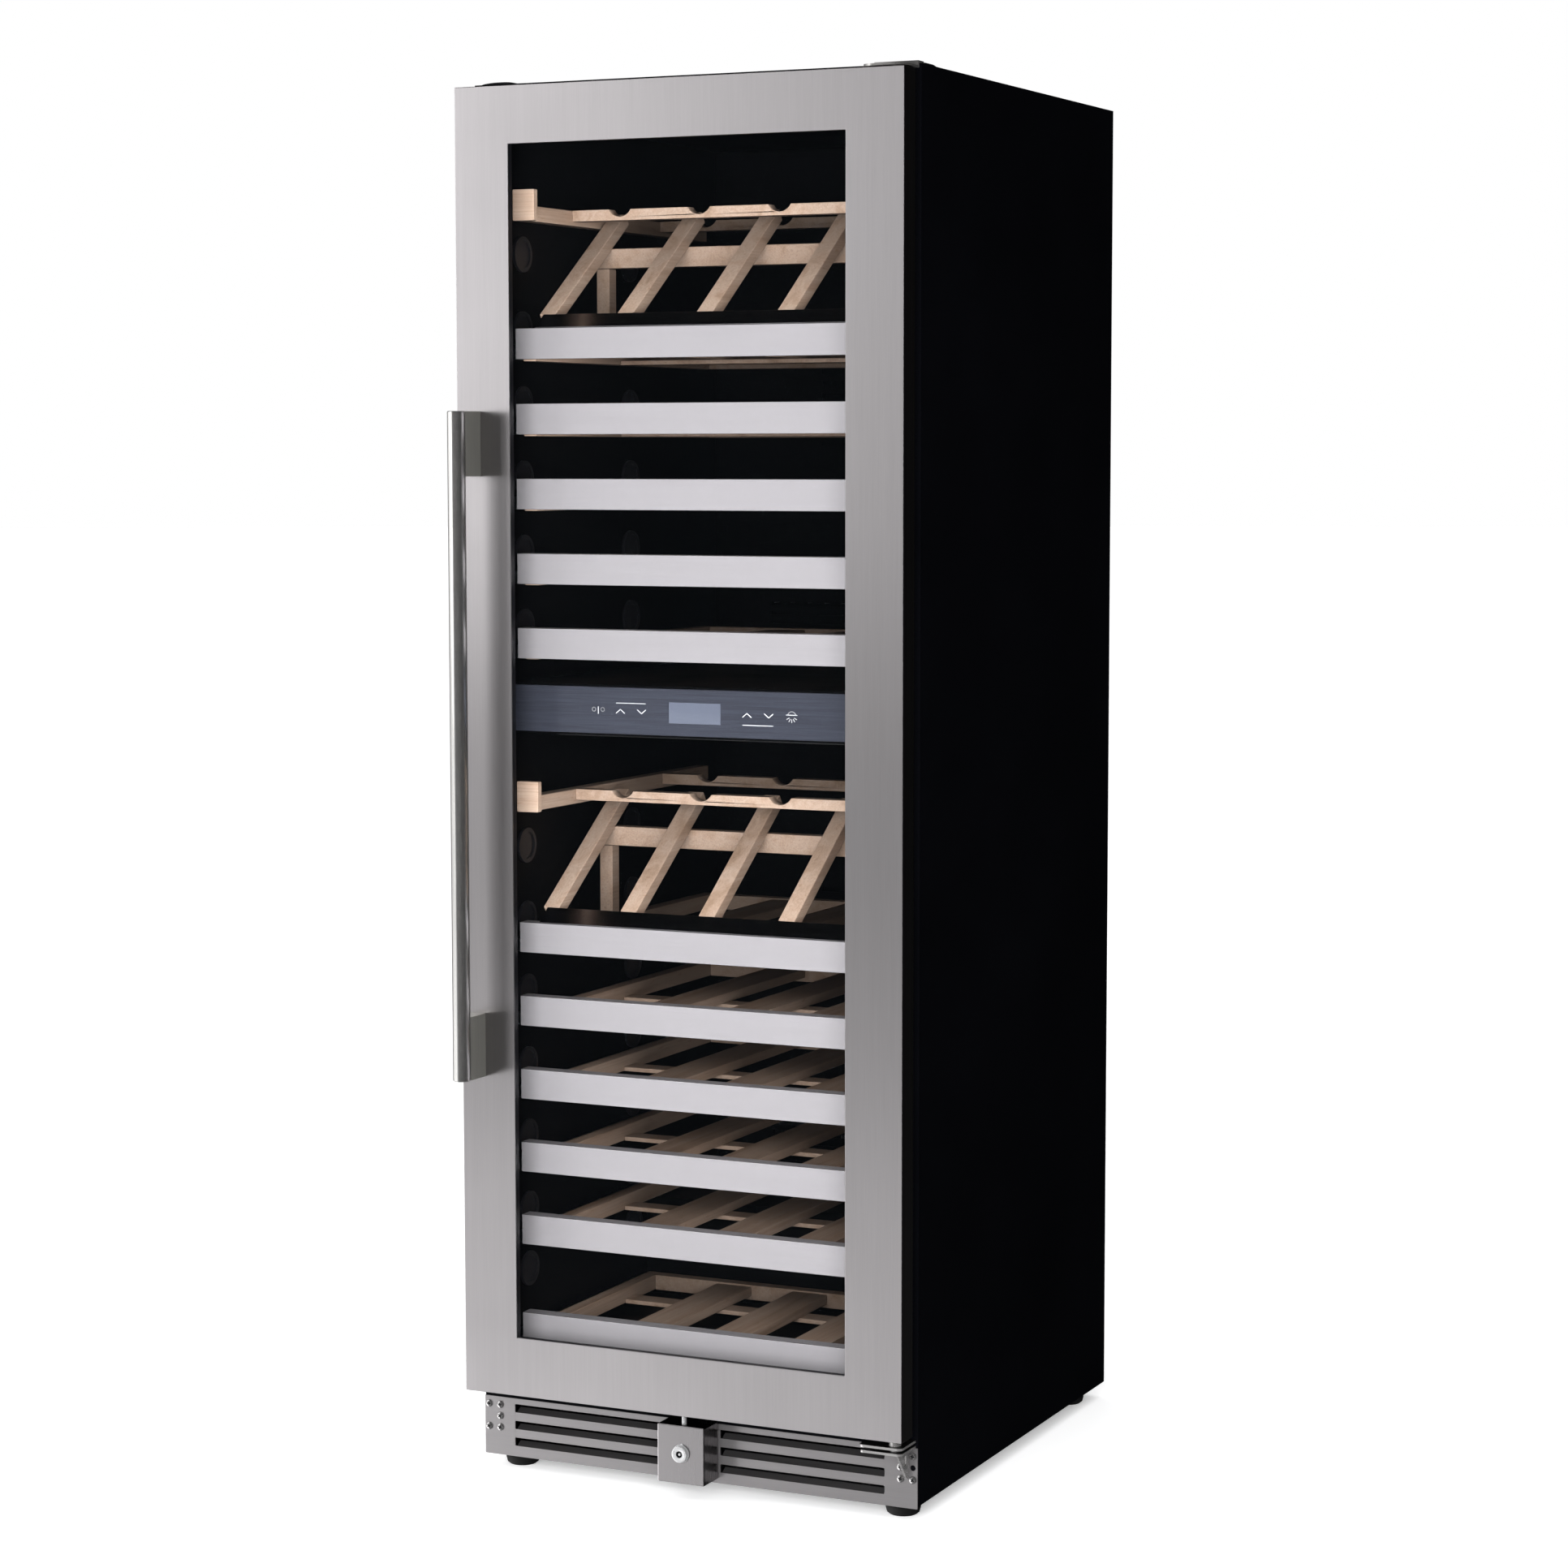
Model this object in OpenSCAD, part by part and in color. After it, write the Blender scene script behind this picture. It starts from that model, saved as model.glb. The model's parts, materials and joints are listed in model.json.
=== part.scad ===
// Tall two-zone wine cooler with a glazed door, slide-out beech shelves and a front-vented base.
// Millimetres, +Z up, the door faces -Y. The origin is on the floor, under the middle of the
// bounding box. Depths in the modules are counted back from the face of the door, and span()
// moves them to the origin's frame.

/* [Body] */
// Width of the cabinet and of the door
body_w = 594; // [580:1:600]
// Depth from the face of the door to the rear panel
body_d = 700; // [690:1:720]
// Height of the cabinet's top above the floor
body_top = 1728; // [1722:1:1735]
// Thickness of the sheet steel wrapper
sheet = 1.2; // [0.8:0.1:1.5]
// Height of the cabinet's underside above the floor
foot_h = 20; // [18:1:24]

/* [Door] */
// Height of the door's bottom edge above the floor
door_z = 110; // [109:1:111]
// Height of the door
door_h = 1611; // [1608:1:1612]
// Thickness of the door without its gasket
door_t = 36; // [36:0.5:37]
// Width of the steel border round the window
border = 74; // [70:1:76]
// Width of the steel border above the window
top_border = 70; // [68:1:76]
// Thickness of each glass pane
pane_t = 4; // [3:0.5:4]

/* [Handle] */
// Diameter of the handle bar
bar_d = 22; // [18:1:24]
// Length of the handle bar
bar_l = 820; // [700:10:900]
// Distance from the face of the door to the middle of the bar
bar_out = 42; // [38:1:44]

/* [Inside] */
// Inside width of the two compartments
liner_w = 516; // [514:1:517]
// Thickness of the inner liner
liner_t = 2.5; // [2:0.1:2.5]
// Height of the lower compartment's floor
low_floor = 150; // [148:1:152]
// Height of the lower compartment's ceiling
low_ceiling = 934.5; // [934:0.1:935]
// Height of the upper compartment's floor
up_floor = 996.5; // [996:0.1:997]
// Height of the upper compartment's ceiling
up_ceiling = 1690; // [1688:1:1690]

/* [Shelves] */
// Height of the trim's top edge on the upper compartment's lowest shelf
up_first = 1064; // [1062:1:1066]
// Step between shelves in the upper compartment
up_pitch = 92; // [91:0.5:93]
// Height of the trim's top edge on the lower compartment's second shelf
low_first = 327; // [326:1:331]
// Step between shelves in the lower compartment
low_pitch = 92.5; // [91:0.5:93]
// Height of the trim's top edge on the bottom shelf
bottom_top = 202; // [200:1:204]
// Width of a shelf
shelf_w = 493; // [490:1:494]
// Slope of the display racks in degrees
rack_slope = 35; // [34:0.5:36]

/* [Base] */
// Height of the ventilation slots
slot_h = 10.5; // [9:0.5:11]
// Step between the ventilation slots
slot_pitch = 21.5; // [21:0.5:22]
// Diameter of the lock cylinder
lock_d = 20.6; // [18:0.2:21]

/* [Hidden] */
$fn = 48;
tiny = 0.2;                               // gap that keeps neighbouring pieces apart
seat = 50;                                // depth of the cabinet's front plane
front_y = -(body_d - bar_out - bar_d / 2) / 2;   // the door's face in the origin's frame
back_in = body_d - sheet;                 // inner face of the rear panel
half = body_w / 2;
window_x = half - border;                 // half width of the door's window
window_lo = door_z + border;
window_hi = door_z + door_h - top_border;
door_top = door_z + door_h;
cavity_y = 640;                           // depth of the compartments' rear wall
step_y = 420;                             // where the machine bay steps into the lower compartment
step_z = 282;                             // height of that step
bay_y = 462;                              // front wall of the machine bay
bay_z = 244;                              // ceiling of the machine bay
foam_z = 112;                             // underside of the insulation
hinge_x = half - 17;                      // the door turns about this upright line
hinge_y = 20;
pin_d = 8;
shelf_y = 57;                             // front of the shelf trims
shelf_back = 575;
bottom_back = 405;                        // the bottom shelf stops short of the step
trim_h = 38;
slat_w = 50;
slat_pitch = 110;
panel_lo = 937;
panel_hi = 994;
display_w = 70;
display_lo = 952;
display_hi = 978;
up_tops = [for (i = [4:-1:0]) up_first + i * up_pitch];
low_tops = [for (i = [4:-1:0]) low_first + i * low_pitch];
tops = concat(up_tops, low_tops, [bottom_top]);
pad_z = concat(up_tops, low_tops, [bottom_top + 48]);
half_z = [up_tops[0] + 131, low_tops[0] + 138];  // undersides of the two half shelves
bar_x = -274;
bar_z = 510;
post_w = 20;
post_h = 79;
slot_in = 34;                             // where the ventilation slots start and end
slot_out = 254;
slot_low = 36.5;                          // middle of the lowest slot
kick_top = 92;                            // upper edge of the kick plate, where the lower hinge rests
lock_z = 61;
bolt_y = 18;
bolt_d = 6;
bolt_lo = 72;
bolt_hi = 109;
foot_x = half - 34;
foot_y = [85, 650];
fan_up_z = 1340;
fan_low_z = 640;
fan_y = 612;                              // middle of the evaporator fans
bay_fan = [-130, 600, 130];               // middle of the condenser fan

// ---- shared shapes ----

// Box between two corners, with y as a depth behind the door's face
module span(x0, x1, y0, y1, z0, z1)
    translate([x0, front_y + y0, z0]) cube([x1 - x0, y1 - y0, z1 - z0]);

// Box centred on x = 0
module wide(w, y0, y1, z0, z1) span(-w / 2, w / 2, y0, y1, z0, z1);

// Outline in depth and height, drawn out along x and centred on x
module along_x(w, x = 0)
    translate([x, front_y, 0]) rotate([90, 0, 90]) linear_extrude(w, center = true) children();

// Upright cylinder
module post(x, y, z0, z1, d) translate([x, front_y + y, z0]) cylinder(h = z1 - z0, d = d);

// Cylinder that runs back from depth y0 to y1
module spindle(x, z, y0, y1, d)
    translate([x, front_y + y1, z]) rotate([90, 0, 0]) cylinder(h = y1 - y0, d = d);

// Both sides of the middle plane
module both() {
    children();
    mirror([1, 0, 0]) children();
}

// Pan-head screw with a cross recess, its seat at the origin and its head towards -Y
module screw_head(d = 9.4, h = 2.6)
    rotate([90, 0, 0])
        difference() {
            union() {
                cylinder(h = h * 0.45, d = d);
                translate([0, 0, h * 0.45]) cylinder(h = h * 0.55, d1 = d, d2 = d * 0.62);
            }
            for (a = [0, 90])
                rotate(a) translate([-d * 0.26, -0.6, h - 1.2]) cube([d * 0.52, 1.2, 2]);
        }

// ---- cabinet ----

module cabinet_shell()
    color("#0b0c0e")
        difference() {
            wide(body_w, seat, back_in, foot_h, body_top);
            wide(body_w - 2 * sheet, seat + sheet, body_d, foot_h - 1, body_top - sheet);
            wide(liner_w + 2 * liner_t, seat - 1, seat + 2, low_floor - liner_t, up_ceiling + liner_t);
            wide(body_w - 2 * 9, seat - 1, seat + 2, foot_h - 1, kick_top - 3);
        }

// The liner's outer surface, which is also the foam's inner surface
module liner_outline(grow)
    polygon([
        [seat, low_floor - grow], [step_y + grow, low_floor - grow],
        [step_y + grow, step_z - grow], [cavity_y + grow, step_z - grow],
        [cavity_y + grow, up_ceiling + grow], [seat, up_ceiling + grow]
    ]);

module inner_liner()
    color("#101113")
        difference() {
            along_x(liner_w + 2 * liner_t) liner_outline(liner_t);
            along_x(liner_w)
                polygon([
                    [seat - 1, low_floor], [step_y, low_floor], [step_y, step_z],
                    [cavity_y, step_z], [cavity_y, low_ceiling], [seat - 1, low_ceiling]
                ]);
            wide(liner_w, seat - 1, cavity_y, up_floor, up_ceiling);
            wide(liner_w - 4, seat - 1, cavity_y - 2, low_ceiling + liner_t, up_floor - liner_t);
            wide(liner_w, seat - 1, shelf_y, low_ceiling - 1, up_floor + 1);
        }

module insulation_foam()
    color("#d8c9a0") {
        difference() {
            along_x(body_w - 2 * sheet)
                polygon([
                    [seat + sheet, foam_z], [bay_y, foam_z], [bay_y, bay_z],
                    [back_in, bay_z], [back_in, body_top - sheet], [seat + sheet, body_top - sheet]
                ]);
            along_x(liner_w + 2 * liner_t) liner_outline(liner_t);
            wide(liner_w + 2 * liner_t, seat, seat + 5, low_floor - liner_t, up_ceiling + liner_t);
        }
        wide(liner_w - 4, 64, cavity_y - 2, low_ceiling + liner_t, up_floor - liner_t);
    }

module back_panel()
    color("#1a1b1d")
        difference() {
            wide(body_w, back_in, body_d, foot_h, body_top);
            for (i = [0:8])
                wide(360, back_in - 1, body_d + 1, 76 + i * 20, 82 + i * 20);
            span(188, 216, back_in - 1, body_d + 1, 50, 72);
        }

module base_pan()
    color("#2b2d30") {
        wide(body_w - 2 * sheet, seat + sheet, back_in, foot_h, foot_h + 2);
        for (x = [-1, 1])
            wide_rail(x);
    }

// Stiffening rail along one side of the base pan
module wide_rail(side)
    translate([side * (half - sheet - 10), 0, 0])
        span(-9.8, 9.8, bay_y, back_in - 4, foot_h + 2, foot_h + 14);

module leveling_feet()
    color("#0c0c0d")
        for (x = [-foot_x, foot_x], y = foot_y) {
            translate([x, front_y + y, 0])
                rotate_extrude()
                    polygon([[0, 0], [17, 0], [20, 2.5], [21.5, 8], [21.5, 13], [0, 13]]);
            post(x, y, 13, foot_h, 26);
        }

// ---- base front ----

module slot_row(x0, x1)
    for (i = [0:2])
        translate([0, 0, slot_low + i * slot_pitch]) {
            span(x0 + 1.5, x1 - 1.5, 46, 51, -slot_h / 2, slot_h / 2);
            span(x0, x1, 46, 51, -slot_h / 2 + 1.5, slot_h / 2 - 1.5);
            for (x = [x0 + 1.5, x1 - 1.5], z = [-1, 1])
                spindle(x, z * (slot_h / 2 - 1.5), 46, 51, 3);
        }

module kick_grille()
    color("#b4b1ae") {
        difference() {
            wide(body_w, 48.4, seat, foot_h - 2.5, kick_top);
            both() slot_row(slot_in, slot_out);
            spindle(291, 67.5, 47, 51, 7);
        }
        both()
            for (i = [0:2])
                along_x(slot_out - slot_in - 4, (slot_in + slot_out) / 2)
                    polygon([
                        [seat, slot_low + i * slot_pitch - slot_h / 2 - 1.4],
                        [seat + 9, slot_low + i * slot_pitch - slot_h / 2 + 3.6],
                        [seat + 9, slot_low + i * slot_pitch - slot_h / 2 + 4.8],
                        [seat, slot_low + i * slot_pitch - slot_h / 2 - 0.2]
                    ]);
    }

module grille_screws()
    color("#d5d6d8") {
        for (p = [[-291, 53], [-291, 82], [-275, 53], [-275, 67.5], [-275, 82]])
            translate([p[0], front_y + 48.4, p[1]]) screw_head();
        for (p = [[275, 53], [291, 53], [275, 67.5], [291, 82]])
            translate([p[0], front_y + 48.4, p[1]]) screw_head(8.6);
    }

module lock_box()
    color("#b0adaa")
        difference() {
            wide(64, 8, 48.4, 23.5, 96);
            wide(60, 10, 50, 25.5, 94);
            spindle(0, lock_z, 6, 12, lock_d + 0.1);
            post(0, bolt_y, 93, 97, bolt_d + 0.1);
        }

module lock_cylinder()
    color("#c9cacc")
        difference() {
            union() {
                spindle(0, lock_z, 4.2, 40, lock_d);
                spindle(0, lock_z, 3, 4.2, lock_d - 2);
            }
            spindle(0, lock_z, 2, 8, 7);
            span(-1.1, 1.1, 2, 8, lock_z - 5.4, lock_z + 5.4);
        }

module lock_bolt()
    color("#c8c9cb") {
        post(0, bolt_y, bolt_lo, bolt_hi - 1, bolt_d);
        translate([0, front_y + bolt_y, bolt_hi - 1]) cylinder(h = 1, d1 = bolt_d, d2 = bolt_d - 1.6);
    }

module lower_hinge()
    color("#c4c3c2") {
        for (z = [kick_top, kick_top + 6.6])
            difference() {
                union() {
                    span(hinge_x - 42, half - 3, 12, seat, z, z + 3);
                    span(hinge_x - 36, half - 9, 6, seat, z, z + 3);
                    post(half - 9, 12, z, z + 3, 12);
                    post(hinge_x - 36, 12, z, z + 3, 12);
                }
                if (z == kick_top) span(hinge_x - 43, hinge_x - 39, 5, seat + 1, z - 1, z + 4);
            }
        post(hinge_x, hinge_y, 95, 98.6, 12);
        post(hinge_x, hinge_y, 101.6, door_z - tiny, 15);
        post(hinge_x, hinge_y, door_z - tiny, door_z + 15, pin_d);
        difference() {
            along_x(3, hinge_x + 4)
                polygon([[14, 92], [48.4, 92], [48.4, 55], [43, 55]]);
            along_x(5, hinge_x + 4)
                hull() for (z = [75, 83]) translate([39, z]) circle(d = 4.4);
        }
    }

module upper_hinge()
    color("#b9b8b7") {
        difference() {
            union() {
                span(hinge_x - 41, half - 2, 12, 62, body_top, body_top + 3);
                span(hinge_x - 31, half - 12, 3, 62, body_top, body_top + 3);
                post(half - 13, 14, body_top, body_top + 3, 22);
                post(hinge_x - 30, 14, body_top, body_top + 3, 22);
            }
            span(half - 2, half + 4, 0, 70, body_top - 1, body_top + 4);
        }
        post(hinge_x, hinge_y, door_top + tiny, body_top, 14);
        post(hinge_x, hinge_y, door_top - 15, door_top + tiny, pin_d);
    }

module hinge_cover()
    color("#0d0d0f")
        along_x(58, half - 31)
            polygon([
                [62.2, body_top], [104, body_top], [104, body_top + 1.4],
                [97, body_top + 4], [62.2, body_top + 4]
            ]);

module hinge_hole_cover()
    color("#101013")
        along_x(46, -half + 28)
            polygon([
                [54, body_top], [92, body_top], [92, body_top + 1.2], [86, body_top + 4.2],
                [62, body_top + 4.2], [54, body_top + 1.2]
            ]);

// ---- door ----

module door_frame()
    color("#b7b3b0")
        difference() {
            wide(body_w, 0, door_t - 3, door_z, door_top);
            wide(body_w - 2 * sheet, sheet, door_t, door_z + sheet, door_top - sheet);
            wide(2 * window_x, -1, 3, window_lo, window_hi);
            post(hinge_x, hinge_y, door_z - 1, door_z + 3, pin_d + 0.1);
            post(hinge_x, hinge_y, door_top - 3, door_top + 1, pin_d + 0.1);
            post(0, bolt_y, door_z - 1, door_z + 3, 8);
        }

module door_inner_frame()
    color("#0e0f10")
        difference() {
            union() {
                wide(body_w - 2 * sheet, sheet, door_t - 3, door_z + sheet, door_top - sheet);
                wide(body_w - 6, door_t - 3, door_t, door_z + 3, door_top - 3);
            }
            wide(2 * window_x, 0, 10, window_lo, window_hi);
            wide(524, 9, 31, window_lo - 39, window_hi + 39);
            wide(500, 30, door_t + 1, window_lo - 27, window_hi + 27);
            post(hinge_x, hinge_y, door_z, door_z + 18, pin_d + 0.1);
            post(hinge_x, hinge_y, door_top - 18, door_top, pin_d + 0.1);
            post(0, bolt_y, door_z, door_z + 18, 8);
        }

module door_glass()
    color("#20262a", 0.35)
        for (y = [9, 31 - pane_t])
            wide(524, y, y + pane_t, window_lo - 39, window_hi + 39);

module door_gasket()
    color("#161719")
        difference() {
            wide(558, door_t, seat - tiny, door_z + 20, door_top - 14);
            wide(522, door_t - 1, seat, door_z + 38, door_top - 31);
            difference() {
                wide(551, door_t + 4, seat - 4, door_z + 23, door_top - 17);
                wide(529, door_t + 3, seat - 3, door_z + 35, door_top - 28);
            }
        }

module handle_bar()
    color("#b9b6b3") {
        post(bar_x, -bar_out, bar_z + 1, bar_z + bar_l - 1, bar_d);
        translate([bar_x, front_y - bar_out, bar_z]) cylinder(h = 1, d1 = bar_d - 2, d2 = bar_d);
        translate([bar_x, front_y - bar_out, bar_z + bar_l - 1])
            cylinder(h = 1, d1 = bar_d, d2 = bar_d - 2);
    }

module handle_posts()
    color("#aeaba8")
        difference() {
            for (z = [bar_z, bar_z + bar_l - post_h])
                span(bar_x - post_w / 2, bar_x + post_w / 2, -bar_out, 0, z, z + post_h);
            post(bar_x, -bar_out, bar_z - 1, bar_z + bar_l + 1, bar_d);
        }

// ---- controls and fittings inside ----

module control_panel()
    color("#30353d")
        difference() {
            wide(liner_w - 1, 52, shelf_y, panel_lo, panel_hi);
            wide(liner_w - 7, 54, shelf_y + 1, panel_lo + 3, panel_hi - 3);
            wide(display_w, 51, 55, display_lo, display_hi);
        }

module display_window()
    color("#8e97a3")
        wide(display_w - tiny, 52.2, 54, display_lo + tiny / 2, display_hi - tiny / 2);

module control_board()
    color("#1f4a33") {
        wide(300, 54.2, 55.8, panel_lo + 5, display_lo);
        wide(300, 54.2, 55.8, display_hi, panel_hi - 5);
        for (x = [-110, -60, 60, 110]) span(x - 8, x + 8, 55.8, 60, panel_hi - 15, panel_hi - 6);
    }

module led_strips()
    color("#f2f4ff")
        for (z = [up_ceiling, low_ceiling])
            wide(400, 74, 86, z - 3, z);

module wall_pads()
    color("#1b1b1e")
        both()
            for (z = concat(pad_z, [up_tops[0] + up_pitch, low_tops[0] + low_pitch]), y = [93, 380])
                translate([liner_w / 2, front_y + y, z])
                    rotate([0, -90, 0])
                        difference() {
                            cylinder(h = 4, d = 44);
                            translate([0, 0, 2]) cylinder(h = 3, d = 34);
                        }

module shelf_rails()
    color("#8f9194")
        both()
            for (i = [0:10])
                difference() {
                    span(247.6, 253.9, 64, rail_end(i), tops[i] - 38, tops[i] - 22);
                    span(246, 251, 63, rail_end(i) + 1, tops[i] - 35, tops[i] - 25);
                }

// The bottom shelf and its rails stop short of the machine bay's step
function rail_end(i) = i == 10 ? bottom_back : shelf_back - 25;
function frame_end(i) = i == 10 ? bottom_back : shelf_back;

module air_ducts()
    color("#17181a")
        for (zone = [[up_floor + 8, up_ceiling - 8, fan_up_z], [step_z + 8, low_ceiling - 8, fan_low_z]])
            difference() {
                wide(420, 590, cavity_y, zone[0], zone[1]);
                wide(414, 593, cavity_y + 1, zone[0] + 3, zone[1] - 3);
                for (i = [-3:3])
                    wide(150, 589, 594, zone[2] - 3 + i * 16, zone[2] + 3 + i * 16);
                for (i = [0:4])
                    wide(300, 589, 594, zone[0] + 20 + i * 12, zone[0] + 25 + i * 12);
            }

// Finned block with its tube passes, standing between two depths
module finned_block(w, x, y0, y1, z0, z1, fins) {
    for (i = [0:fins - 1])
        span(x - w / 2 + i * w / (fins - 1) - 0.6, x - w / 2 + i * w / (fins - 1) + 0.6, y0, y1, z0, z1);
    for (z = [z0 + 14:24:z1 - 10])
        translate([x - w / 2 - 6, front_y + (y0 + y1) / 2, z]) rotate([0, 90, 0]) cylinder(h = w + 12, d = 8);
}

module evaporators()
    color("#b8bcc0") {
        finned_block(300, 0, 600, 632, up_floor + 80, up_floor + 220, 13);
        finned_block(300, 0, 600, 632, step_z + 60, step_z + 180, 13);
    }

// Axial fan rotor on a shaft along y, middle at the origin
module rotor(d, blades, depth) {
    rotate([90, 0, 0]) cylinder(h = depth, d = d * 0.34, center = true);
    for (i = [0:blades - 1])
        rotate([0, i * 360 / blades, 0])
            translate([0, 0, d * 0.31])
                rotate([0, 0, 32]) cube([d * 0.3, 2, d * 0.34], center = true);
}

module evap_fan_upper() color("#3a3d42") translate([0, front_y + fan_y, fan_up_z]) rotor(110, 7, 16);

module evap_fan_lower() color("#3a3d42") translate([0, front_y + fan_y, fan_low_z]) rotor(110, 7, 16);

module condenser()
    color("#54565a") {
        finned_block(200, bay_fan[0], 500, 556, 40, 220, 15);
        for (x = [-1, 1])
            translate([bay_fan[0] + x * 92, 0, 0]) span(-6, 6, 506, 550, foot_h + 2, 40 - tiny);
        translate([0, front_y, 0]) bay_fan_ring();
    }

// Shroud ring round the condenser fan, on two feet
module bay_fan_ring() {
    translate([bay_fan[0], bay_fan[1], bay_fan[2]])
        rotate([90, 0, 0])
            difference() {
                cylinder(h = 30, d = 172, center = true);
                cylinder(h = 32, d = 164, center = true);
            }
    for (x = [-50, 50])
        translate([bay_fan[0] + x - 6, bay_fan[1] - 15, foot_h + 2]) cube([12, 30, 38]);
}

module condenser_fan() color("#3a3d42") translate([bay_fan[0], front_y + bay_fan[1], bay_fan[2]]) rotor(156, 5, 22);

module compressor()
    color("#0f1012")
        translate([130, front_y + 580, 0]) {
            rotate_extrude()
                polygon([
                    [0, 36], [58, 36], [72, 46], [76, 60], [76, 118], [79, 118], [79, 126],
                    [76, 126], [76, 168], [70, 188], [52, 204], [26, 212], [0, 214]
                ]);
            translate([-80, -60, 30]) cube([160, 120, 6]);
            for (x = [-66, 66], y = [-48, 48])
                translate([x, y, foot_h + 2]) cylinder(h = 8, d = 22);
            translate([-26, 60, 90]) cube([52, 34, 62]);
        }

module power_inlet()
    color("#141416")
        difference() {
            span(188.2, 215.8, back_in - 22, body_d, 50.2, 71.8);
            span(191, 213, body_d - 16, body_d + 1, 53, 69);
        }

// ---- shelves ----

function trim_height(i) = i == 10 ? 35 : trim_h;

// Flat beech shelf: front block, two side rails, back rail, a strip across and slats between
module beech_shelf(t, front_h, y_end) {
    x = shelf_w / 2;
    wide(2 * x, shelf_y + 1.4, 76, t - front_h, t - 1.4);
    for (s = [-1, 1])
        translate([s * (x - 9), 0, 0]) span(-9, 9, 76 + tiny, y_end, t - 40, t - 20);
    wide(2 * x - 36 - 2 * tiny, y_end - 18, y_end, t - 40, t - 20);
    wide(2 * x - 36 - 2 * tiny, 300, 330, t - 40, t - 34 - tiny);
    for (i = [-1:1])
        translate([i * slat_pitch, 0, 0])
            span(-slat_w / 2, slat_w / 2, 76 + tiny, y_end - 18 - tiny, t - 34, t - 22);
}

// Sloped rack that stands on a shelf and leans the bottles towards the glass
module display_rack(t) {
    lift = t + 4 + tiny + (236 - 92) * tan(rack_slope);
    wide(456, 84, 102, t - 22 + tiny, t + 4);
    wide(456, 236, 254, lift - 25, lift - tiny);
    for (s = [-1, 1])
        translate([s * 219, 0, 0]) span(-9, 9, 236, 254, t - 20 + tiny, lift - 25 - tiny);
    for (i = [-2:2])
        translate([i * 108 - 11, front_y + 92, t + 4 + tiny])
            rotate([rack_slope, 0, 0]) cube([22, 232, 16]);
}

module beech_frame(i)
    color("#c9a878") {
        beech_shelf(tops[i], trim_height(i) - 0.4, frame_end(i));
        if (i == 0 || i == 5) display_rack(tops[i]);
    }

// Folded steel trim over the front block, with the display racks' sloped lip
module steel_trim(i)
    color("#c7c4c4") {
        t = tops[i];
        h = trim_height(i);
        along_x(shelf_w)
            polygon([
                [shelf_y, t - h], [shelf_y + 1.2, t - h], [shelf_y + 1.2, t - 1.2],
                [76, t - 1.2], [76, t], [shelf_y, t]
            ]);
        if (i == 0 || i == 5)
            along_x(shelf_w - 50, 2)
                polygon([
                    [shelf_y + 1, t + 1], [shelf_y + 2, t], [shelf_y + 14, t],
                    [shelf_y + 24, t + 16.4], [shelf_y + 23, t + 17.4]
                ]);
    }

module half_shelves()
    color("#c9a878")
        for (z = half_z) {
            both() {
                span(220, 250, 58, 67, z, z + 38);
                span(232, 250, 67 + tiny, 560, z, z + 19);
            }
            for (y = [178, 420])
                difference() {
                    wide(464 - 2 * tiny, y, y + 18, z + 5, z + 19);
                    for (i = [-2:1])
                        spindle((i + 0.5) * slat_pitch, z + 27, y - 1, y + 19, 34);
                }
        }

cabinet_shell();
inner_liner();
insulation_foam();
back_panel();
base_pan();
kick_grille();
grille_screws();
lock_box();
lock_cylinder();
lock_bolt();
lower_hinge();
upper_hinge();
hinge_cover();
hinge_hole_cover();
leveling_feet();
door_frame();
door_inner_frame();
door_glass();
door_gasket();
handle_bar();
handle_posts();
control_panel();
display_window();
control_board();
led_strips();
wall_pads();
shelf_rails();
air_ducts();
evaporators();
evap_fan_upper();
evap_fan_lower();
condenser();
condenser_fan();
compressor();
power_inlet();
half_shelves();
beech_frame(0);  // shelf_01_frame
steel_trim(0);  // shelf_01_trim
beech_frame(1);  // shelf_02_frame
steel_trim(1);  // shelf_02_trim
beech_frame(2);  // shelf_03_frame
steel_trim(2);  // shelf_03_trim
beech_frame(3);  // shelf_04_frame
steel_trim(3);  // shelf_04_trim
beech_frame(4);  // shelf_05_frame
steel_trim(4);  // shelf_05_trim
beech_frame(5);  // shelf_06_frame
steel_trim(5);  // shelf_06_trim
beech_frame(6);  // shelf_07_frame
steel_trim(6);  // shelf_07_trim
beech_frame(7);  // shelf_08_frame
steel_trim(7);  // shelf_08_trim
beech_frame(8);  // shelf_09_frame
steel_trim(8);  // shelf_09_trim
beech_frame(9);  // shelf_10_frame
steel_trim(9);  // shelf_10_trim
beech_frame(10);  // shelf_11_frame
steel_trim(10);  // shelf_11_trim
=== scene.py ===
"""Looks of the two-zone wine cooler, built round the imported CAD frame. Lengths are in metres."""

import json
import math

import bmesh
import bpy
from mathutils import Matrix, Vector


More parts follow.
